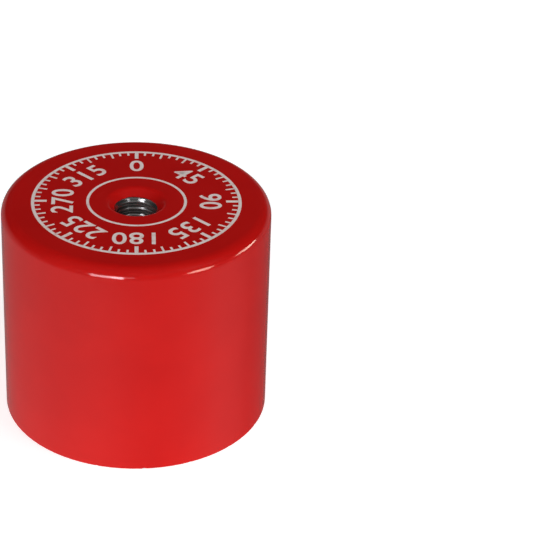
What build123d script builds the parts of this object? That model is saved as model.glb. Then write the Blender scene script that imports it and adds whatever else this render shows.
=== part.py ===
"""Deep pot magnet, 35 mm across and 30 mm tall, with an M6 tapped hole in its closed end.

A thick steel cup holds a round Alnico core on its axis. An aluminium sleeve fills the space between them,
so that the core's pole and the cup's rim stay apart, and all three end flush in one ground pole face.
The cup is one turned piece: a straight wall, a rounded shoulder, a flat end, a tapped hole with a countersink
whose lip is rolled over, and a cavity with a radius in its corner.

Millimetres. The origin is the centre of the pole face, and +Z runs along the axis to the tapped end.
"""

import os
from math import radians, tan

from build123d import *

# Steel cup
cup_diameter = 35.0
cup_height = 30.0
cup_wall = 3.6
base_thickness = 8.0
shoulder_radius = 1.6
cavity_corner_radius = 0.8
rim_edge_break = 0.15

# M6 hole, tapped right through the base and drawn at the tap drill's size
thread_diameter = 6.0
thread_pitch = 1.0
countersink_past_thread = 0.8
countersink_angle = 90.0
countersink_lip_radius = 0.9
tap_exit_chamfer = 0.5

# Aluminium sleeve and Alnico core
sleeve_wall = 2.3
sleeve_edge_chamfer = 0.3
core_edge_chamfer = 0.6

# Clearances
bond_gap = 0.03
sleeve_end_gap = 0.2
sleeve_corner_gap = 0.3

# Sizes that follow from those above
cavity_radius = cup_diameter / 2 - cup_wall
cavity_depth = cup_height - base_thickness
tap_drill_radius = (thread_diameter - thread_pitch) / 2
countersink_radius = thread_diameter / 2 + countersink_past_thread
sleeve_outer_radius = cavity_radius - bond_gap
sleeve_inner_radius = sleeve_outer_radius - sleeve_wall
core_radius = sleeve_inner_radius - bond_gap

base_at_origin = (Align.CENTER, Align.CENTER, Align.MIN)
top_at_origin = (Align.CENTER, Align.CENTER, Align.MAX)


def outer_edge(solid, level):
    """The widest circle among the solid's lowest edges, at level 0, or its highest ones, at level -1."""
    return solid.edges().group_by(Axis.Z)[level].sort_by(SortBy.LENGTH)[-1]


def inner_edge(solid, level):
    """The narrowest circle at that level."""
    return solid.edges().group_by(Axis.Z)[level].sort_by(SortBy.LENGTH)[0]


def cavity():
    """The bored space inside the cup, with a radius where its wall meets its floor."""
    bored = Cylinder(cavity_radius, cavity_depth, align=base_at_origin)
    return fillet(outer_edge(bored, -1), cavity_corner_radius)


def tapped_hole():
    """The drilled hole through the base, its countersink, and the chamfer where the drill comes out."""
    drilled = Cylinder(tap_drill_radius, base_thickness, align=top_at_origin)
    sink_depth = (countersink_radius - tap_drill_radius) / tan(radians(countersink_angle / 2))
    countersink = Cone(tap_drill_radius, countersink_radius, sink_depth, align=top_at_origin)
    exit_radius = tap_drill_radius + tap_exit_chamfer
    tap_exit = Cone(exit_radius, tap_drill_radius, tap_exit_chamfer, align=base_at_origin)
    return Pos(Z=cup_height) * (drilled + countersink) + Pos(Z=cavity_depth) * tap_exit


def steel_cup():
    """The turned cup, open at the pole face, with its end running down into the hole over a rolled lip."""
    cup = Cylinder(cup_diameter / 2, cup_height, align=base_at_origin) - cavity() - tapped_hole()
    cup = fillet(inner_edge(cup, -1), countersink_lip_radius)
    cup = fillet(outer_edge(cup, -1), shoulder_radius)
    return chamfer(outer_edge(cup, 0), rim_edge_break)


def spacer_sleeve():
    """The sleeve round the core, chamfered at its back so that it clears the radius in the cavity's corner."""
    sleeve_length = cavity_depth - sleeve_end_gap
    tube = Cylinder(sleeve_outer_radius, sleeve_length, align=base_at_origin)
    tube -= Cylinder(sleeve_inner_radius, sleeve_length, align=base_at_origin)
    tube = chamfer(inner_edge(tube, -1), sleeve_edge_chamfer)
    return chamfer(outer_edge(tube, -1), cavity_corner_radius + sleeve_corner_gap)


def magnet_core():
    """The cast Alnico cylinder. Its chamfered back seats on the cavity's floor, and its front is the pole."""
    core = Cylinder(core_radius, cavity_depth, align=base_at_origin)
    return chamfer(outer_edge(core, -1), core_edge_chamfer)


os.makedirs("parts", exist_ok=True)
pieces = {
    "pot": steel_cup(),
    "spacer_sleeve": spacer_sleeve(),
    "magnet_core": magnet_core(),
}
for name, piece in pieces.items():
    export_step(piece, f"parts/{name}.step")
    print(name, round(piece.volume, 1), piece.bounding_box().size)
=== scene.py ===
import math

import bpy
import numpy as np
from mathutils import Matrix


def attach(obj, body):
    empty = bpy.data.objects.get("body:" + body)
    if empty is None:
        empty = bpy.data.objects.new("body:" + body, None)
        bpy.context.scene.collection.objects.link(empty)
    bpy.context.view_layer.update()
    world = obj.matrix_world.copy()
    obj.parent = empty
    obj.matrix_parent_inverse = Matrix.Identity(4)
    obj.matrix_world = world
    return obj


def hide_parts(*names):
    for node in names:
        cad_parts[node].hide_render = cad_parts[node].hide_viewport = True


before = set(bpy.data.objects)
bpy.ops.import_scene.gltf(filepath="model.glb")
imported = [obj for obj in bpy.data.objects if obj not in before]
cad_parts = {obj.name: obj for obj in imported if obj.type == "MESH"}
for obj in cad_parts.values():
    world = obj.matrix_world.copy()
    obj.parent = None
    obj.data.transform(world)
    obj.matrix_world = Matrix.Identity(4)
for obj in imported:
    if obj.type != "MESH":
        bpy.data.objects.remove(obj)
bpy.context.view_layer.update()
mm = 0.001  # every size in the dictionaries is in millimetres, every mesh in metres
print("frame loaded:", sorted(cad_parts))


# numbers and shapes

besideArc = 0.06  # a run this short beside each arc keeps the smooth shading from spreading over the flats
axisRadius = 1e-9  # a row of points nearer the axis than this lies on it


def linearFromHex(hexColour):
    # sRGB to linear: about a thirteenth of the value near black, the 2.4 power curve above it
    values = np.array([int(hexColour[i:i + 2], 16) for i in (1, 3, 5)]) / 255
    linear = np.where(values <= 0.04045, values / 12.92, ((values + 0.055) / 1.055) ** 2.4)
    return (*linear.tolist(), 1.0)


def roundedLine(corners, arcSteps, longestStep):
    # A line through (radius, height, rounding) corners. Each rounding is an arc tangent to its two runs: it
    # starts rounding * tan(half the turn) before the corner, and its centre lies off the first run's left or
    # right. The straight runs are cut into steps no longer than the longest one.
    points = np.array([c[:2] for c in corners], float)
    runs = np.diff(points, axis=0)
    lengths = np.hypot(runs[:, 0], runs[:, 1])
    ways = runs / lengths[:, None]
    pieces = [points[:1]]
    for i in range(1, len(points) - 1):
        before, after, rounding = ways[i - 1], ways[i], corners[i][2]
        turn = math.atan2(before[0] * after[1] - before[1] * after[0], before @ after)
        setback = rounding * math.tan(abs(turn) / 2)
        side = math.copysign(1, turn) * np.array([-before[1], before[0]])
        centre = points[i] - before * setback + side * rounding
        swept = np.linspace(0, turn, arcSteps + 1)[:, None]
        spoke = -side * rounding
        across = np.array([-spoke[1], spoke[0]])
        pieces.append(centre + spoke * np.cos(swept) + across * np.sin(swept))
    pieces.append(points[-1:])
    line = [pieces[0]]
    for piece in pieces[1:]:
        start, end = line[-1][-1], piece[0]
        run = np.hypot(*(end - start))
        margin = min(besideArc, run / 4)
        inner = max(1, math.ceil((run - 2 * margin) / longestStep))
        shares = np.concatenate([[margin], np.linspace(margin, run - margin, inner + 1)[1:]]) / run
        line.append(start + (end - start) * shares[:, None])
        line.append(piece)
    return np.concatenate(line)


def turnedGrid(outline, columns):
    # The outline's (radius, height) rows turned round the axis: x and y are the radius times the cosine and
    # sine of the angle, z is the height. Rows may already differ from column to column.
    angle = np.linspace(0, 2 * np.pi, columns, endpoint=False)
    if outline.ndim == 2:
        outline = np.repeat(outline[:, None, :], columns, axis=1)
    radius, height = outline[..., 0], outline[..., 1]
    return np.stack([radius * np.cos(angle), radius * np.sin(angle), height], axis=-1)


def addPiece(name, points, faces):
    # a mesh from points in millimetres, on an object at the origin
    mesh = bpy.data.meshes.new(name)
    mesh.from_pydata((points * mm).tolist(), [], faces)
    piece = bpy.data.objects.new(name, mesh)
    bpy.context.scene.collection.objects.link(piece)
    print(f"{name}: {len(faces)} faces")
    return piece


def pieceFromGrid(name, grid, closedRows, finishOfRow=None):
    # Quads join each row of the grid to the next and each column to the next, round to the first one. A row
    # that lies on the axis becomes one vertex with a fan. The signed volume says which way the faces point.
    rows, columns = grid.shape[:2]
    onAxis = np.hypot(grid[..., 0], grid[..., 1]).max(axis=1) < axisRadius
    index = np.arange(rows * columns).reshape(rows, columns)
    index[onAxis] = index[onAxis][:, :1]
    upper = index if closedRows else index[:-1]
    lower = np.roll(index, -1, axis=0)[:len(upper)]
    quads = np.stack([upper, np.roll(upper, -1, axis=1), np.roll(lower, -1, axis=1), lower], axis=-1)
    quads = quads.reshape(-1, 4)
    corners = grid.reshape(-1, 3)
    a, b, c, d = (corners[quads[:, k]] for k in range(4))
    volume = np.einsum("ij,ij->i", a, np.cross(b, c)).sum() + np.einsum("ij,ij->i", a, np.cross(c, d)).sum()
    if volume < 0:
        quads = quads[:, ::-1]
    faces = [tuple(dict.fromkeys(quad)) for quad in quads.tolist()]
    used = np.unique(quads)
    renumber = np.zeros(len(corners), int)
    renumber[used] = np.arange(len(used))
    faces = [tuple(renumber[list(face)].tolist()) for face in faces]
    piece = addPiece(name, corners[used], faces)
    piece.data.polygons.foreach_set("use_smooth", np.ones(len(faces), bool))
    if finishOfRow is not None:
        finishOfFace = np.repeat(np.asarray(finishOfRow)[:len(upper)], columns)
        piece.data.polygons.foreach_set("material_index", finishOfFace.astype(np.int32))
    piece.data.update()
    return piece


# materials

def startMaterial(name):
    material = bpy.data.materials.new(name)
    material.use_nodes = True
    material.node_tree.nodes.clear()
    return material, material.node_tree


def addNode(tree, kind, settings=None, **inputs):
    # One node: its settings by attribute, its inputs by name, or by number as _0 or _1. Each input is a value
    # or a socket to link from.
    node = tree.nodes.new(kind)
    for key, value in (settings or {}).items():
        setattr(node, key, value)
    for key, value in inputs.items():
        socket = node.inputs[int(key[1:])] if key[0] == "_" else node.inputs[key.replace("_", " ")]
        if isinstance(value, bpy.types.NodeSocket):
            tree.links.new(value, socket)
        else:
            socket.default_value = value
    return node


def perMetre(sizeInMm):
    # texture scale for a pattern whose features repeat at this size
    return 1000 / sizeInMm


def finishMaterial(tree, shader):
    addNode(tree, "ShaderNodeOutputMaterial", Surface=shader.outputs[0])


redPaint = dict(
    colour="#C81512",
    thinColour="#C11210",
    roughness=0.1,
    specularLevel=0.2,
    peelSize=1.5,
    peelHeight=0.002,
    waveSize=7.0,
    waveHeight=0.012,
    cloudSize=9.0,
    cloudRange=(0.3, 0.7),
    nibSpacing=5.0,
    nibRadius=0.22,
    nibHeight=0.03,
    cellsWithoutNib=0.6,  # the share of the cells that have no speck of dust
)


def redStovedEnamel():
    # Gloss alkyd enamel, sprayed on the turned cup and stoved: a deep wet red with a faint orange peel, which
    # breaks up the lamps' reflections along the shoulder, and a few specks of dust caught under the coat.
    material, tree = startMaterial("redStovedEnamel")
    place = addNode(tree, "ShaderNodeTexCoord").outputs["Object"]
    peel = addNode(tree, "ShaderNodeTexNoise", Vector=place, Scale=perMetre(redPaint["peelSize"]), Detail=2.0)
    wave = addNode(tree, "ShaderNodeTexNoise", Vector=place, Scale=perMetre(redPaint["waveSize"]), Detail=1.0)
    cloud = addNode(tree, "ShaderNodeTexNoise", Vector=place, Scale=perMetre(redPaint["cloudSize"]),
                    Detail=3.0)
    cells = addNode(tree, "ShaderNodeTexVoronoi", Vector=place, Scale=perMetre(redPaint["nibSpacing"]))
    dome = addNode(tree, "ShaderNodeMapRange", dict(interpolation_type="SMOOTHSTEP"),
                   Value=cells.outputs["Distance"], From_Min=0.0,
                   From_Max=redPaint["nibRadius"] / redPaint["nibSpacing"], To_Min=1.0, To_Max=0.0)
    chosen = addNode(tree, "ShaderNodeMath", dict(operation="GREATER_THAN"), _0=cells.outputs["Color"],
                     _1=redPaint["cellsWithoutNib"])
    nibs = addNode(tree, "ShaderNodeMath", dict(operation="MULTIPLY"), _0=dome.outputs[0],
                   _1=chosen.outputs[0])
    waveBump = addNode(tree, "ShaderNodeBump", Strength=1.0, Distance=redPaint["waveHeight"] * mm,
                       Height=wave.outputs[0])
    nibBump = addNode(tree, "ShaderNodeBump", Strength=1.0, Distance=redPaint["nibHeight"] * mm,
                      Height=nibs.outputs[0], Normal=waveBump.outputs[0])
    peelBump = addNode(tree, "ShaderNodeBump", Strength=1.0, Distance=redPaint["peelHeight"] * mm,
                       Height=peel.outputs[0], Normal=nibBump.outputs[0])
    cloudLow, cloudHigh = redPaint["cloudRange"]
    share = addNode(tree, "ShaderNodeMapRange", Value=cloud.outputs[0], From_Min=cloudLow, From_Max=cloudHigh)
    colour = addNode(tree, "ShaderNodeMix", dict(data_type="RGBA"), _0=share.outputs[0],
                     _6=linearFromHex(redPaint["colour"]), _7=linearFromHex(redPaint["thinColour"]))
    shader = addNode(tree, "ShaderNodeBsdfPrincipled", Base_Color=colour.outputs[2],
                     Roughness=redPaint["roughness"], Specular_IOR_Level=redPaint["specularLevel"],
                     Normal=peelBump.outputs[0])
    finishMaterial(tree, shader)
    return material


# paintedScratchGlint is how much lighter the scratches are painted: a painted glint
groundSteel = dict(
    colour="#A3A6AB",
    dullColour="#8E9298",
    roughness=0.42,
    scratchLength=1.4,
    scratchDepth=0.003,
    mottleSize=1.6,
    paintedScratchGlint=0.1,
)
groundAluminium = dict(
    colour="#DCDFE3",
    dullColour="#BFC4CA",
    roughness=0.36,
    scratchLength=1.2,
    scratchDepth=0.004,
    mottleSize=0.7,
    paintedScratchGlint=0.12,
)
groundAlnico = dict(
    colour="#A5A29C",
    dullColour="#8A8780",
    roughness=0.45,
    scratchLength=1.8,
    scratchDepth=0.003,
    mottleSize=1.3,
    paintedScratchGlint=0.09,
)

# what the three ground faces have in common
grinding = dict(
    directions=5,
    firstDirection=11,
    degreesApart=36,
    patternsApart=3.0,
    lengthPerWidth=16,
    noiseRange=(0.53, 0.64),  # the noise levels between which a scratch comes in
    bendSizePerLength=1.5,
    bendPerLength=0.5,
    mottleRange=(0.25, 0.75),
    roughRange=(0.3, 0.7),
    roughSpread=0.08,
)


def groundMetal(name, metal):
    # A face ground flat on an abrasive belt and lapped: fine short scratches that wander in every direction,
    # made by noise drawn out along turned and bent axes, over a mottle of brighter and duller patches. The
    # scratches are drawn about 0.1 mm wide, a few times coarser than real ones, so that they can be seen.
    # Their colour is also lifted, which is a painted glint.
    material, tree = startMaterial(name)
    place = addNode(tree, "ShaderNodeTexCoord").outputs["Object"]
    length, width = metal["scratchLength"], metal["scratchLength"] / grinding["lengthPerWidth"]
    bend = addNode(tree, "ShaderNodeTexNoise", Vector=place,
                   Scale=perMetre(length * grinding["bendSizePerLength"]), Detail=1.0)
    bent = addNode(tree, "ShaderNodeVectorMath", dict(operation="MULTIPLY_ADD"), _0=bend.outputs[1],
                   _1=(length * grinding["bendPerLength"] * mm,) * 3, _2=place)
    noiseLow, noiseHigh = grinding["noiseRange"]
    scratches = None
    for k in range(grinding["directions"]):
        direction = math.radians(grinding["firstDirection"] + grinding["degreesApart"] * k)
        turned = addNode(tree, "ShaderNodeMapping", dict(vector_type="TEXTURE"), Vector=bent.outputs[0],
                         Location=(grinding["patternsApart"] * mm * k, 0, 0), Rotation=(0, 0, direction),
                         Scale=(length * mm, width * mm, 1))
        noise = addNode(tree, "ShaderNodeTexNoise", Vector=turned.outputs[0], Scale=1.0, Detail=2.0)
        sharp = addNode(tree, "ShaderNodeMapRange", Value=noise.outputs[0], From_Min=noiseLow,
                        From_Max=noiseHigh).outputs[0]
        if scratches is None:
            scratches = sharp
        else:
            scratches = addNode(tree, "ShaderNodeMath", dict(operation="MAXIMUM"), _0=scratches,
                                _1=sharp).outputs[0]
    mottle = addNode(tree, "ShaderNodeTexNoise", Vector=place, Scale=perMetre(metal["mottleSize"]),
                     Detail=6.0, Roughness=0.7).outputs[0]
    mottleLow, mottleHigh = grinding["mottleRange"]
    share = addNode(tree, "ShaderNodeMapRange", Value=mottle, From_Min=mottleLow, From_Max=mottleHigh)
    base = addNode(tree, "ShaderNodeMix", dict(data_type="RGBA"), _0=share.outputs[0],
                   _6=linearFromHex(metal["colour"]), _7=linearFromHex(metal["dullColour"]))
    # the scratches are painted lighter than the metal round them: a painted glint
    bright = addNode(tree, "ShaderNodeMix", dict(data_type="RGBA", blend_type="ADD"), _0=scratches,
                     _6=base.outputs[2], _7=(metal["paintedScratchGlint"],) * 3 + (1.0,))
    roughLow, roughHigh = grinding["roughRange"]
    rough = addNode(tree, "ShaderNodeMapRange", Value=mottle, From_Min=roughLow, From_Max=roughHigh,
                    To_Min=metal["roughness"] - grinding["roughSpread"],
                    To_Max=metal["roughness"] + grinding["roughSpread"])
    bump = addNode(tree, "ShaderNodeBump", Strength=1.0, Distance=metal["scratchDepth"] * mm,
                   Height=scratches)
    shader = addNode(tree, "ShaderNodeBsdfPrincipled", Base_Color=bright.outputs[2], Metallic=1.0,
                     Roughness=rough.outputs[0], Normal=bump.outputs[0])
    finishMaterial(tree, shader)
    return material


cutSteel = dict(
    colour="#C3C4C2",
    lineLength=6.0,
    lineWidth=0.09,
    lineHeight=0.004,
    tornSize=0.5,
    tornHeight=0.02,
    lineRange=(0.3, 0.7),
    roughness=(0.16, 0.3),
    anisotropy=0.8,
    quarterTurn=0.25,  # turns the drawn-out light from round the hole to along it
)


def tappedSteel():
    # Mild steel cut by a drill and a tap and left bare: bright turns with fine tool lines round the hole,
    # which draw the light out up and down, and small torn marks, which break it into glints.
    material, tree = startMaterial("tappedSteel")
    place = addNode(tree, "ShaderNodeTexCoord").outputs["Object"]
    lineScale = (perMetre(cutSteel["lineLength"]),) * 2 + (perMetre(cutSteel["lineWidth"]),)
    along = addNode(tree, "ShaderNodeMapping", Vector=place, Scale=lineScale)
    lines = addNode(tree, "ShaderNodeTexNoise", Vector=along.outputs[0], Scale=1.0, Detail=3.0)
    marks = addNode(tree, "ShaderNodeTexNoise", Vector=place, Scale=perMetre(cutSteel["tornSize"]),
                    Detail=3.0)
    torn = addNode(tree, "ShaderNodeBump", Strength=1.0, Distance=cutSteel["tornHeight"] * mm,
                   Height=marks.outputs[0])
    bump = addNode(tree, "ShaderNodeBump", Strength=1.0, Distance=cutSteel["lineHeight"] * mm,
                   Height=lines.outputs[0], Normal=torn.outputs[0])
    lineLow, lineHigh = cutSteel["lineRange"]
    smoothest, roughest = cutSteel["roughness"]
    rough = addNode(tree, "ShaderNodeMapRange", Value=lines.outputs[0], From_Min=lineLow, From_Max=lineHigh,
                    To_Min=smoothest, To_Max=roughest)
    roundHole = addNode(tree, "ShaderNodeTangent", dict(direction_type="RADIAL", axis="Z"))
    shader = addNode(tree, "ShaderNodeBsdfPrincipled", Base_Color=linearFromHex(cutSteel["colour"]),
                     Metallic=1.0, Roughness=rough.outputs[0], Anisotropic=cutSteel["anisotropy"],
                     Anisotropic_Rotation=cutSteel["quarterTurn"], Tangent=roundHole.outputs[0],
                     Normal=bump.outputs[0])
    finishMaterial(tree, shader)
    return material


printInk = dict(
    colour="#F8E9E6",
    thinColour="#E9C3BE",
    thinSize=0.8,
    thinRange=(0.55, 0.8),
    roughness=0.42,
    specularLevel=0.3,
)


def whiteScreenInk():
    # Screen-printed epoxy ink: an off-white film, duller than the enamel under it, a little thin in places.
    material, tree = startMaterial("whiteScreenInk")
    place = addNode(tree, "ShaderNodeTexCoord").outputs["Object"]
    noise = addNode(tree, "ShaderNodeTexNoise", Vector=place, Scale=perMetre(printInk["thinSize"]),
                    Detail=4.0)
    thinLow, thinHigh = printInk["thinRange"]
    share = addNode(tree, "ShaderNodeMapRange", Value=noise.outputs[0], From_Min=thinLow, From_Max=thinHigh)
    colour = addNode(tree, "ShaderNodeMix", dict(data_type="RGBA"), _0=share.outputs[0],
                     _6=linearFromHex(printInk["colour"]), _7=linearFromHex(printInk["thinColour"]))
    shader = addNode(tree, "ShaderNodeBsdfPrincipled", Base_Color=colour.outputs[2],
                     Roughness=printInk["roughness"], Specular_IOR_Level=printInk["specularLevel"])
    finishMaterial(tree, shader)
    return material


enamelRed = redStovedEnamel()
steelGround = groundMetal("groundSteel", groundSteel)
steelTapped = tappedSteel()
aluminiumGround = groundMetal("groundAluminium", groundAluminium)
alnicoGround = groundMetal("groundAlnico", groundAlnico)
inkWhite = whiteScreenInk()
print("materials made:", len(bpy.data.materials))


# The cup, as the CAD has it. The enamel is a coat on the turned steel, and both follow one outline: the
# surface set back by an inset, 0 at the enamel's skin. The printed film on top makes up the full 30 mm.
printFilm = 0.015
cup = dict(
    radius=17.5,
    height=30.0 - printFilm,
    shoulder=1.6,
    sinkRadius=3.8,
    sinkLip=0.9,
    boreRadius=2.5,
    enamelThickness=0.1,
    enamelEmbed=0.02,
    enamelFoot=2.9,  # the radius on the cone at which the enamel's outline ends
    slideFrom=3.5,  # inside this radius the enamel's rows slide along the cone to their cut edge
    enamelClearOfRim=0.01,
    rimRounding=0.07,
    cutRounding=0.045,
    chipReach=0.5,
    steelRimRounding=0.02,
    cavityRadius=13.9,
    cavityFloor=22.0,
    cavityCorner=0.8,
    cavityEdge=0.015,
    groundUpTo=0.5,
    seamOutside=0.5,  # the steel's outline closes in its rim face, this far outside the cavity
    seamWidth=0.05,
    tapExit=0.5,
    tapExitRounding=0.01,
    holeRowsFrom=0.9,  # the hole's rows start on the cone, this far below the end
    holeRowsGap=0.05,
    rowsPerPitch=24,
    enamelColumns=720,
    columns=320,
)
thread = dict(
    radius=3.0,
    pitch=1.0,
    start=0.62,
    rootHalf=1 / 16,
    flankEnd=3 / 8,
    cornerWidth=0.2,
    cornerSamples=7,
)
paintedEdge = dict(
    coneFoot=0.7,  # the height of the painted cone's foot, in pitches past a whole number of them
    newGroove=7 / 16,  # a new groove counts from this far below the foot
    least=0.03,  # how high on the cone the edge lies, at least and at most
    most=0.36,
    drop=0.07,  # the share of a turn in which the edge drops back
    ripples=[(0.01, 7, 1), (0.008, 17, 0)],  # size, count and shift
)
chippedRim = dict(
    least=0.02,
    ripple=0.012,
    rippleCount=41,
    chip=0.16,
    chipFrom=1.7,
    chipCounts=(13, 22, 37, 53, 71, 89),
    weightStep=1.7,
)


def cupSkin(inset, bottom, bottomRounding=0.0):
    # Outline corners from the rim up the wall, over the shoulder and the flat end to the countersink's lip.
    # The 45 degree cone moves out by inset * sqrt(2), so its lip moves out by inset * (sqrt(2) - 1).
    wall = cup["radius"] - inset
    end = cup["height"] - inset
    lip = cup["sinkRadius"] + inset * (math.sqrt(2) - 1)
    return [
        (wall, bottom, bottomRounding),
        (wall, end, cup["shoulder"] - inset),
        (lip, end, cup["sinkLip"] - inset),
    ]


def threadRadiusAt(angle, height):
    # Right-hand M6 x 1 inside thread: the groove climbs one pitch a turn. Measured along the axis from the
    # groove's middle, the root is flat for a sixteenth of the pitch each side, and then the flank falls to
    # the crest at three eighths of the pitch. The mean over a short window rounds the corners.
    window = np.linspace(-0.5, 0.5, thread["cornerSamples"]) * thread["cornerWidth"]
    total = 0
    for shift in window:
        phase = ((height + shift) / thread["pitch"] - angle / (2 * np.pi) - thread["start"]) % 1.0
        offset = np.minimum(phase, 1 - phase)
        flank = (offset - thread["rootHalf"]) / (thread["flankEnd"] - thread["rootHalf"])
        total = total + np.clip(flank, 0, 1)
    return thread["radius"] - (thread["radius"] - cup["boreRadius"]) * total / len(window)


def enamelEdgeRadius(angle):
    # Where the tap's top groove cuts through the painted cone. The groove's middle lies climb above the
    # cone's foot, in pitches of 1 mm. Its upper flank is at bore + rise + slope * (climb - height), the cone
    # at bore + height, and the two meet at (rise + slope * climb) / (1 + slope). After a turn the groove is
    # clear of the cone, and the edge drops back to the next groove. A fine ripple runs all round.
    depth = thread["radius"] - cup["boreRadius"]
    slope = depth / (thread["flankEnd"] - thread["rootHalf"])
    rise = depth + slope * thread["rootHalf"]
    new = paintedEdge["newGroove"]
    climb = (angle / (2 * np.pi) + thread["start"] - paintedEdge["coneFoot"] + new) % 1.0 - new
    least = paintedEdge["least"]
    reach = np.clip((rise + slope * climb) / (1 + slope), least, paintedEdge["most"])
    stillThere = np.clip((1 - new - climb) / paintedEdge["drop"], 0, 1)
    ripple = sum(size * np.sin(count * angle + shift) for size, count, shift in paintedEdge["ripples"])
    return cup["boreRadius"] + least + (reach - least) * stillThere + ripple


def rimChips(angle):
    # How far the coat stops short of the ground face: a fine ripple all round, and chips where a sum of sines
    # of unlike counts, weights and shifts peaks.
    step = chippedRim["weightStep"]
    mix = sum(math.sin(step * n) * np.sin(n * angle + n * n) for n in chippedRim["chipCounts"])
    ripple = chippedRim["ripple"] * np.sin(chippedRim["rippleCount"] * angle) ** 2
    return chippedRim["least"] + ripple + chippedRim["chip"] * np.clip(mix - chippedRim["chipFrom"], 0, 1)


def makeEnamel():
    # One closed outline, out along the enamel's skin and back along its inner face, turned round the axis.
    angle = np.linspace(0, 2 * np.pi, cup["enamelColumns"], endpoint=False)
    depth = cup["enamelThickness"] + cup["enamelEmbed"]
    bottom, foot, slideFrom = cup["enamelClearOfRim"], cup["enamelFoot"], cup["slideFrom"]
    coneFoot = cup["height"] - (cup["sinkRadius"] - foot)
    cut = depth / math.sqrt(2)
    cutEnd = (foot + cut, coneFoot - cut, 0)
    skin = [(cup["radius"] - depth, bottom, 0)] + cupSkin(0, bottom, cup["rimRounding"])
    skin += [(foot, coneFoot, cup["cutRounding"]), cutEnd]
    outer = roundedLine(skin, arcSteps=12, longestStep=1.3)
    inner = roundedLine(cupSkin(depth, bottom) + [cutEnd], arcSteps=6, longestStep=2.0)
    outline = np.concatenate([outer, inner[1:-1][::-1]])
    grid = np.repeat(outline[:, None, :], cup["enamelColumns"], axis=1)
    # Near the hole the rows slide along the cone to the tap's edge, less and less towards the lip. At the rim
    # the lowest rows rise to the chipped edge.
    radius, height = outline[:, :1], outline[:, 1:]
    slide = np.clip((slideFrom - radius) / (slideFrom - foot - cut), 0, 1) * (enamelEdgeRadius(angle) - foot)
    rise = np.clip(1 - (height - bottom) / cup["chipReach"], 0, 1) * (rimChips(angle) - bottom)
    grid[..., 0] += slide
    grid[..., 1] += slide + rise
    piece = pieceFromGrid("cup_enamel", turnedGrid(grid, cup["enamelColumns"]), True)
    piece.data.materials.append(enamelRed)
    return piece


def makeSteelCup():
    # One closed outline: rim face, wall under the enamel, end, countersink, thread, floor and cavity. In the
    # hole the surface is whichever lies further out, the cone or the thread.
    inset = cup["enamelThickness"]
    coneTop = cup["height"] - inset - cup["holeRowsFrom"]
    coneTopRadius = cup["sinkRadius"] + inset * (math.sqrt(2) - 1) - cup["holeRowsFrom"]
    seam = cup["cavityRadius"] + cup["seamOutside"]
    corners = [(seam, 0, 0)] + cupSkin(inset, 0, cup["steelRimRounding"]) + [(coneTopRadius, coneTop, 0)]
    outside = roundedLine(corners, arcSteps=6, longestStep=2.5)
    exitHeight = cup["cavityFloor"] + cup["tapExit"]
    heights = np.arange(coneTop - cup["holeRowsGap"], exitHeight, -thread["pitch"] / cup["rowsPerPitch"])
    cone = coneTopRadius - (coneTop - heights)
    hole = np.stack([np.maximum(cone, cup["boreRadius"]), heights], axis=-1)
    # the tap's exit chamfer runs from the last thread row to the cavity's floor
    exitRadius = cup["boreRadius"] + cup["tapExit"]
    exitRounding = cup["tapExitRounding"]
    cavity = roundedLine([
        (exitRadius, cup["cavityFloor"] + 2 * exitRounding, 0),
        (exitRadius + 2 * exitRounding, cup["cavityFloor"], exitRounding),
        (cup["cavityRadius"], cup["cavityFloor"], cup["cavityCorner"]),
        (cup["cavityRadius"], 0, cup["cavityEdge"]),
        (seam - cup["seamWidth"], 0, 0),
    ], arcSteps=6, longestStep=4.0)
    outline = np.concatenate([outside, hole, cavity])
    angle = np.linspace(0, 2 * np.pi, cup["columns"], endpoint=False)
    grid = np.repeat(outline[:, None, :], cup["columns"], axis=1)
    first, last = len(outside), len(outside) + len(hole)
    threadRadius = threadRadiusAt(angle[None, :], heights[:, None])
    grid[first:last, :, 0] = np.maximum(grid[first:last, :, 0], threadRadius)
    # the ground finish comes first among the materials, the tapped one second
    finish = np.where(outline[:, 1] < cup["groundUpTo"], 0, 1)
    piece = pieceFromGrid("cup_steel", turnedGrid(grid, cup["columns"]), True, finish)
    piece.data.materials.append(steelGround)
    piece.data.materials.append(steelTapped)
    return piece


enamelPiece = makeEnamel()
steelPiece = makeSteelCup()


# Sleeve and core, bonded into the cavity. Their faces are ground flush with the rim, so their front edges are
# all but sharp.
bondGap = 0.03
frontEdge = 0.012
sleeve = dict(
    wall=2.3,
    endGap=0.2,
    backChamfer=1.1,
    backRounding=0.1,
    innerChamfer=0.3,
    innerRounding=0.05,
    seamWidth=0.02,
    columns=256,
)
core = dict(backChamfer=0.6, backRounding=0.1, columns=256)
sleeveRadius = cup["cavityRadius"] - bondGap
sleeveBore = sleeveRadius - sleeve["wall"]


def makeSleeve():
    # A tube: one closed outline, from the middle of its ground face out, up, in and down, turned round.
    outer, inner = sleeveRadius, sleeveBore
    middle = (outer + inner) / 2
    back = cup["cavityFloor"] - sleeve["endGap"]
    outline = roundedLine([
        (middle, 0, 0),
        (outer, 0, frontEdge),
        (outer, back - sleeve["backChamfer"], sleeve["backRounding"]),
        (outer - sleeve["backChamfer"], back, sleeve["backRounding"]),
        (inner + sleeve["innerChamfer"], back, sleeve["innerRounding"]),
        (inner, back - sleeve["innerChamfer"], sleeve["innerRounding"]),
        (inner, 0, frontEdge),
        (middle - sleeve["seamWidth"], 0, 0),
    ], arcSteps=4, longestStep=3.0)
    piece = pieceFromGrid("spacer_sleeve_ground", turnedGrid(outline, sleeve["columns"]), True)
    piece.data.materials.append(aluminiumGround)
    return piece


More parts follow.
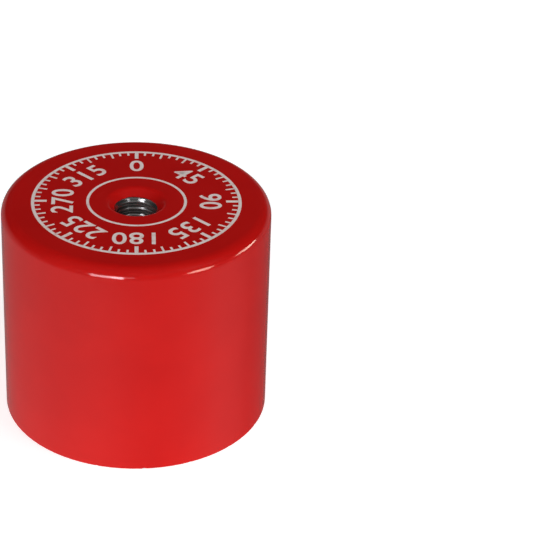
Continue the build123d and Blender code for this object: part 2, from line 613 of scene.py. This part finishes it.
def makeCore():
    # A cylinder: an outline from the middle of its ground face to the middle of its back, turned round.
    radius, back = sleeveBore - bondGap, cup["cavityFloor"]
    outline = roundedLine([
        (0, 0, 0),
        (radius, 0, frontEdge),
        (radius, back - core["backChamfer"], core["backRounding"]),
        (radius - core["backChamfer"], back, core["backRounding"]),
        (0, back, 0),
    ], arcSteps=4, longestStep=2.0)
    piece = pieceFromGrid("magnet_core_ground", turnedGrid(outline, core["columns"]), False)
    piece.data.materials.append(alnicoGround)
    return piece


sleevePiece = makeSleeve()
corePiece = makeCore()


# The print on the closed end: a plain ring of degrees, as on a dial. All of it is one thin film of ink, whose
# bottom is sunk into the enamel so that no gap shows.
dial = dict(
    ringRadius=13.6,
    ringWidth=0.42,
    ringSteps=240,
    innerRadius=6.5,
    innerWidth=0.36,
    innerSteps=180,
    tickEvery=5,
    middleEvery=15,
    shortTick=0.7,
    middleTick=1.15,
    longTick=1.6,
    tickWidth=0.28,
    longTickWidth=0.5,
    tickOverlap=0.05,
    numberEvery=45,
    numberRadius=9.4,
    numberHeight=2.9,
    sizePerHeight=1.38,
    numberWeight=0.05,
    numberSpacing=1.08,
    curveSteps=5,
    sunk=0.01,
)


def filmHeights():
    # bottom and top of the film
    return cup["height"] - dial["sunk"], cup["height"] + printFilm


def ringAround(innerRadius, outerRadius, steps):
    # A flat closed ring: four edges, inner and outer, at the film's bottom and top, carried round the axis.
    base, top = filmHeights()
    angle = np.linspace(0, 2 * np.pi, steps, endpoint=False)[:, None]
    section = np.array([(innerRadius, base), (outerRadius, base), (outerRadius, top), (innerRadius, top)])
    height = np.broadcast_to(section[:, 1], (steps, 4))
    points = np.stack([section[:, 0] * np.cos(angle), section[:, 0] * np.sin(angle), height], axis=-1)
    here = np.arange(steps * 4).reshape(steps, 4)
    there = np.roll(here, -1, axis=0)
    sides = np.stack([here, there, np.roll(there, -1, axis=1), np.roll(here, -1, axis=1)], axis=-1)
    return points.reshape(-1, 3), sides.reshape(-1, 4).tolist()


def barAt(angle, innerRadius, outerRadius, width):
    # A straight tick of even width, pointing at the axis.
    base, top = filmHeights()
    along = np.array([np.cos(angle), np.sin(angle)])
    across = np.array([-np.sin(angle), np.cos(angle)]) * width / 2
    flat = [innerRadius * along - across, outerRadius * along - across,
            outerRadius * along + across, innerRadius * along + across]
    points = np.array([(*p, base) for p in flat] + [(*p, top) for p in flat])
    sides = [[0, 3, 2, 1], [4, 5, 6, 7], [0, 1, 5, 4], [1, 2, 6, 5], [2, 3, 7, 6], [3, 0, 4, 7]]
    return points, sides


def numberAt(text, angle):
    # Numerals from Blender's own font, extruded to the film's thickness, their feet towards the axis.
    base, top = filmHeights()
    curve = bpy.data.curves.new("numeral", "FONT")
    curve.body = text
    curve.size = dial["numberHeight"] * dial["sizePerHeight"]
    curve.align_x, curve.align_y = "CENTER", "CENTER"
    curve.extrude = (top - base) / 2
    curve.offset = dial["numberWeight"]
    curve.space_character = dial["numberSpacing"]
    curve.resolution_u = dial["curveSteps"]
    holder = bpy.data.objects.new("numeral", curve)
    bpy.context.scene.collection.objects.link(holder)
    mesh = bpy.data.meshes.new_from_object(holder.evaluated_get(bpy.context.evaluated_depsgraph_get()))
    points = np.empty(len(mesh.vertices) * 3)
    mesh.vertices.foreach_get("co", points)
    points = points.reshape(-1, 3)
    points[:, 1] += dial["numberRadius"]
    turn = angle - np.pi / 2
    turned = np.stack([points[:, 0] * np.cos(turn) - points[:, 1] * np.sin(turn),
                       points[:, 0] * np.sin(turn) + points[:, 1] * np.cos(turn),
                       points[:, 2] + (base + top) / 2], axis=-1)
    faces = [list(p.vertices) for p in mesh.polygons]
    bpy.data.objects.remove(holder)
    bpy.data.meshes.remove(mesh)
    bpy.data.curves.remove(curve)
    return turned, faces


def makeDial():
    # two rings, a tick every few degrees and the numbers, joined into one mesh
    ringInside = dial["ringRadius"] - dial["ringWidth"]
    parts = [
        ringAround(ringInside, dial["ringRadius"], dial["ringSteps"]),
        ringAround(dial["innerRadius"] - dial["innerWidth"], dial["innerRadius"], dial["innerSteps"]),
    ]
    for degrees in range(0, 360, dial["tickEvery"]):
        long, middle = degrees % dial["numberEvery"] == 0, degrees % dial["middleEvery"] == 0
        length = dial["longTick"] if long else dial["middleTick"] if middle else dial["shortTick"]
        width = dial["longTickWidth"] if long else dial["tickWidth"]
        outerEnd = ringInside + dial["tickOverlap"]
        parts.append(barAt(math.radians(90 - degrees), ringInside - length, outerEnd, width))
    for degrees in range(0, 360, dial["numberEvery"]):
        parts.append(numberAt(str(degrees), math.radians(90 - degrees)))
    points, faces, count = [], [], 0
    for partPoints, partFaces in parts:
        points.append(partPoints)
        faces += [[v + count for v in face] for face in partFaces]
        count += len(partPoints)
    piece = addPiece("dial_print", np.concatenate(points), faces)
    piece.data.materials.append(inkWhite)
    return piece


dialPiece = makeDial()

for piece in (enamelPiece, steelPiece, sleevePiece, corePiece, dialPiece):
    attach(piece, "root")
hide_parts("pot")
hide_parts("pot")
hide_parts("spacer_sleeve")
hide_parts("magnet_core")
print("pieces placed")


# Floor: a round white sweep that fades into the pale horizon. It starts under the rim, so that the pole face
# can be looked at from below, where the floor's back is clear. In the gloss it shows a painted reflection
# instead of its lit self: a glow by the azimuth in degrees that the ray runs to, bright towards the windows
# and dark at the back, so the wall has soft upright bands and deep edges. In the gloss it also fades nearer,
# so that the windows' lower ends show past it.
floor = dict(
    innerRadius=17.3,
    outerRadius=600.0,
    below=0.02,
    rings=12,
    columns=128,
    fadeFrom=350.0,
    fadeTo=600.0,
    glossFadesNearer=4.0,
    colour="#CBCBCB",
    glow=0.74,
    paintedReflection=[
        (-180, 0.15),
        (-130, 0.3),
        (-95, 0.65),
        (-35, 1.25),
        (15, 0.3),
        (65, 0.95),
        (85, 0.8),
        (115, 0.1),
        (180, 0.15),
    ],
)


def whiteFloor():
    # Matt white paper, which keeps the cup's shadow. The camera sees it lifted to white, the gloss sees a
    # painted reflection that glows by the ray's azimuth, and all see through it far out and from behind.
    material, tree = startMaterial("whitePaperFloor")
    place = addNode(tree, "ShaderNodeTexCoord").outputs["Object"]
    rays = addNode(tree, "ShaderNodeLightPath")
    geometry = addNode(tree, "ShaderNodeNewGeometry")
    seen = addNode(tree, "ShaderNodeMath", dict(operation="MAXIMUM"), _0=rays.outputs["Is Camera Ray"],
                   _1=rays.outputs["Is Transmission Ray"])
    strength = addNode(tree, "ShaderNodeMath", dict(operation="MULTIPLY"), _0=seen.outputs[0],
                       _1=floor["glow"])
    paper = addNode(tree, "ShaderNodeBsdfDiffuse", Color=linearFromHex(floor["colour"]))
    glow = addNode(tree, "ShaderNodeEmission", Strength=strength.outputs[0])
    plain = addNode(tree, "ShaderNodeAddShader", _0=paper.outputs[0], _1=glow.outputs[0])
    # the incoming vector points back along the ray, so the ray's azimuth from the front is atan2(-x, y)
    back = addNode(tree, "ShaderNodeSeparateXYZ", _0=geometry.outputs["Incoming"])
    right = addNode(tree, "ShaderNodeMath", dict(operation="MULTIPLY"), _0=back.outputs["X"], _1=-1.0)
    azimuth = addNode(tree, "ShaderNodeMath", dict(operation="ARCTAN2"), _0=right.outputs[0],
                      _1=back.outputs["Y"])
    turn = addNode(tree, "ShaderNodeMapRange", Value=azimuth.outputs[0], From_Min=-math.pi, From_Max=math.pi)
    ramp = addNode(tree, "ShaderNodeValToRGB", _0=turn.outputs[0])
    ramp.color_ramp.interpolation = "B_SPLINE"
    stops = ramp.color_ramp.elements
    while len(stops) < len(floor["paintedReflection"]):
        stops.new(0.5)
    brightest = max(level for degrees, level in floor["paintedReflection"])
    for stop, (degrees, level) in zip(stops, floor["paintedReflection"]):
        stop.position = (degrees + 180) / 360
        stop.color = (level / brightest,) * 3 + (1.0,)
    # a painted reflection: a glow that only glossy rays see, its level set by the ray's azimuth
    paintedReflection = addNode(tree, "ShaderNodeEmission", Color=ramp.outputs[0], Strength=brightest)
    lit = addNode(tree, "ShaderNodeMixShader", _0=rays.outputs["Is Glossy Ray"], _1=plain.outputs[0],
                  _2=paintedReflection.outputs[0])
    reach = addNode(tree, "ShaderNodeVectorMath", dict(operation="LENGTH"), _0=place)
    nearer = addNode(tree, "ShaderNodeMath", dict(operation="MULTIPLY_ADD"), _0=rays.outputs["Is Glossy Ray"],
                     _1=floor["glossFadesNearer"] - 1, _2=1.0)
    faded = addNode(tree, "ShaderNodeMath", dict(operation="MULTIPLY"), _0=reach.outputs["Value"],
                    _1=nearer.outputs[0])
    fade = addNode(tree, "ShaderNodeMapRange", dict(interpolation_type="SMOOTHSTEP"), Value=faded.outputs[0],
                   From_Min=floor["fadeFrom"] * mm, From_Max=floor["fadeTo"] * mm)
    clear = addNode(tree, "ShaderNodeMath", dict(operation="MAXIMUM"), _0=fade.outputs[0],
                    _1=geometry.outputs["Backfacing"])
    air = addNode(tree, "ShaderNodeBsdfTransparent")
    shader = addNode(tree, "ShaderNodeMixShader", _0=clear.outputs[0], _1=lit.outputs[0], _2=air.outputs[0])
    finishMaterial(tree, shader)
    return material


def makeFloor():
    # a flat disk with a hole, its rings further apart by the same factor each time
    rings, columns = floor["rings"], floor["columns"]
    radii = np.geomspace(floor["innerRadius"], floor["outerRadius"], rings)[:, None]
    angle = np.linspace(0, 2 * np.pi, columns, endpoint=False)
    height = np.full((rings, columns), -floor["below"])
    points = np.stack([radii * np.cos(angle), radii * np.sin(angle), height], axis=-1)
    index = np.arange(rings * columns).reshape(rings, columns)
    inner, outer = index[:-1], index[1:]
    faces = np.stack([inner, outer, np.roll(outer, -1, axis=1), np.roll(inner, -1, axis=1)], axis=-1)
    piece = addPiece("floor", points.reshape(-1, 3), faces.reshape(-1, 4).tolist())
    piece.data.materials.append(whiteFloor())
    return piece


makeFloor()


# Lamps. The low windows show in the gloss alone, as streaks along the shoulder. The two high ones fall into
# the hole and light the bare steel alone. The soft lamps light the wall and the end, and don't show in the
# gloss.
lampKinds = dict(
    window=dict(shape="RECTANGLE", colour=(0.98, 0.96, 1.03)),
    warmWindow=dict(shape="ELLIPSE", colour=(1.0, 0.9, 0.74)),
    holeWindow=dict(shape="RECTANGLE", colour=(0.98, 0.96, 1.03)),
    soft=dict(shape="RECTANGLE", colour=(1.0, 0.98, 0.97)),
)
lamps = [
    dict(name="leftWindow", kind="window", azimuth=-23, elevation=1.5, size=(330, 230), power=5.0),
    dict(name="leftWindowPane", kind="window", azimuth=-15, elevation=1.5, size=(120, 240), power=1.7),
    dict(name="leftWindowEnd", kind="window", azimuth=-4, elevation=4, size=(60, 90), power=0.12),
    dict(name="rightWindow", kind="warmWindow", azimuth=51, elevation=2.5, size=(290, 210), power=3.4),
    dict(name="farRightWindow", kind="warmWindow", azimuth=98, elevation=5, size=(330, 150), power=2.3),
    dict(name="highWindow", kind="holeWindow", azimuth=-45, elevation=72, size=(110, 260), power=0.5),
    dict(name="highPane", kind="holeWindow", azimuth=85, elevation=62, size=(60, 120), power=0.07),
    dict(name="farLeftSoft", kind="soft", azimuth=-95, elevation=8, size=(400, 200), power=0.65),
    dict(name="leftSoft", kind="soft", azimuth=-35, elevation=12, size=(400, 250), power=1.25),
    dict(name="frontSoft", kind="soft", azimuth=8, elevation=32, size=(400, 300), power=1.0),
    dict(name="rightSoft", kind="soft", azimuth=58, elevation=37, size=(400, 300), power=1.95),
    dict(name="backSoft", kind="soft", azimuth=180, elevation=14, size=(900, 300), power=2.0),
]
lampRing = dict(height=15.0, distance=700.0)

bareSteel = bpy.data.collections.new("bareSteel")
bareSteel.objects.link(steelPiece)


def addLamp(lamp):
    # Azimuth 0 is in front, on the camera's side, and grows to the right. The lamp faces the cup's middle.
    kind = lampKinds[lamp["kind"]]
    data = bpy.data.lights.new(lamp["name"], "AREA")
    data.shape = kind["shape"]
    data.color = kind["colour"]
    data.size, data.size_y = (side * mm for side in lamp["size"])
    data.energy = lamp["power"]
    piece = bpy.data.objects.new(lamp["name"], data)
    azimuth, elevation = math.radians(lamp["azimuth"]), math.radians(lamp["elevation"])
    piece.matrix_world = (Matrix.Translation((0, 0, lampRing["height"] * mm))
                          @ Matrix.Rotation(azimuth, 4, "Z")
                          @ Matrix.Rotation(math.pi / 2 - elevation, 4, "X")
                          @ Matrix.Translation((0, 0, lampRing["distance"] * mm)))
    piece.visible_glossy = lamp["kind"] != "soft"
    piece.visible_diffuse = lamp["kind"] == "soft"
    if lamp["kind"] == "holeWindow":
        piece.light_linking.receiver_collection = bareSteel
    piece.visible_camera = False
    bpy.context.scene.collection.objects.link(piece)


for lamp in lamps:
    addLamp(lamp)


# The white table close round the cup throws light up at its wall, most at its foot. The lamp for it lies
# between the pole face and the floor.
table = dict(diameter=135, below=0.01, power=0.04)


def addTableLight():
    data = bpy.data.lights.new("tableLight", "AREA")
    data.shape = "DISK"
    data.size = table["diameter"] * mm
    data.energy = table["power"]
    piece = bpy.data.objects.new("tableLight", data)
    piece.matrix_world = Matrix.Translation((0, 0, -table["below"] * mm)) @ Matrix.Rotation(math.pi, 4, "X")
    piece.visible_glossy = False
    piece.visible_camera = False
    bpy.context.scene.collection.objects.link(piece)


addTableLight()


# The room: dim, darker behind than in front, so that the gloss on the end stays deep, and pale below the
# floor, where the pole face looks. The ranges are the ray's rise or its run to the back over which one level
# turns into the next.
room = dict(
    below=0.85,
    horizon=0.3,
    front=0.2,
    back=0.03,
    belowToHorizon=(-0.6, -0.1),
    horizonToHigh=(0.0, 0.2),
    frontToBack=(-0.5, 0.3),
)


def makeRoom():
    world = bpy.data.worlds.new("room")
    world.use_nodes = True
    tree = world.node_tree
    tree.nodes.clear()
    place = addNode(tree, "ShaderNodeTexCoord").outputs["Generated"]
    parts = addNode(tree, "ShaderNodeSeparateXYZ", _0=place)
    smooth = dict(interpolation_type="SMOOTHSTEP")
    start, end = room["belowToHorizon"]
    low = addNode(tree, "ShaderNodeMapRange", smooth, Value=parts.outputs["Z"], From_Min=start, From_Max=end,
                  To_Min=room["below"], To_Max=room["horizon"])
    start, end = room["frontToBack"]
    high = addNode(tree, "ShaderNodeMapRange", smooth, Value=parts.outputs["Y"], From_Min=start, From_Max=end,
                   To_Min=room["front"], To_Max=room["back"])
    start, end = room["horizonToHigh"]
    share = addNode(tree, "ShaderNodeMapRange", smooth, Value=parts.outputs["Z"], From_Min=start,
                    From_Max=end)
    level = addNode(tree, "ShaderNodeMix", dict(data_type="FLOAT"), _0=share.outputs[0], _2=low.outputs[0],
                    _3=high.outputs[0])
    background = addNode(tree, "ShaderNodeBackground", Color=(1, 1, 1, 1), Strength=level.outputs[0])
    addNode(tree, "ShaderNodeOutputWorld", Surface=background.outputs[0])
    bpy.context.scene.world = world


makeRoom()
print("floor, lamps and room made")


# Camera, found from the photograph's outline: a long lens a third of a metre away, looking down 31 degrees.
view = dict(
    lens=151.94,
    sensor=36.0,
    clip=(10, 10000),
    place=(0.0, -267.17, 180.07),
    heading=4.062,
    down=31.163,
    roll=2.200,
)


def makeCamera():
    data = bpy.data.cameras.new("camera")
    data.lens, data.sensor_width = view["lens"], view["sensor"]
    data.clip_start, data.clip_end = (distance * mm for distance in view["clip"])
    camera = bpy.data.objects.new("camera", data)
    bpy.context.scene.collection.objects.link(camera)
    camera.matrix_world = (Matrix.Translation([v * mm for v in view["place"]])
                           @ Matrix.Rotation(-math.radians(view["heading"]), 4, "Z")
                           @ Matrix.Rotation(math.radians(90 - view["down"]), 4, "X")
                           @ Matrix.Rotation(math.radians(view["roll"]), 4, "Z"))
    bpy.context.scene.camera = camera


makeCamera()
bpy.context.scene.view_settings.view_transform = "Standard"
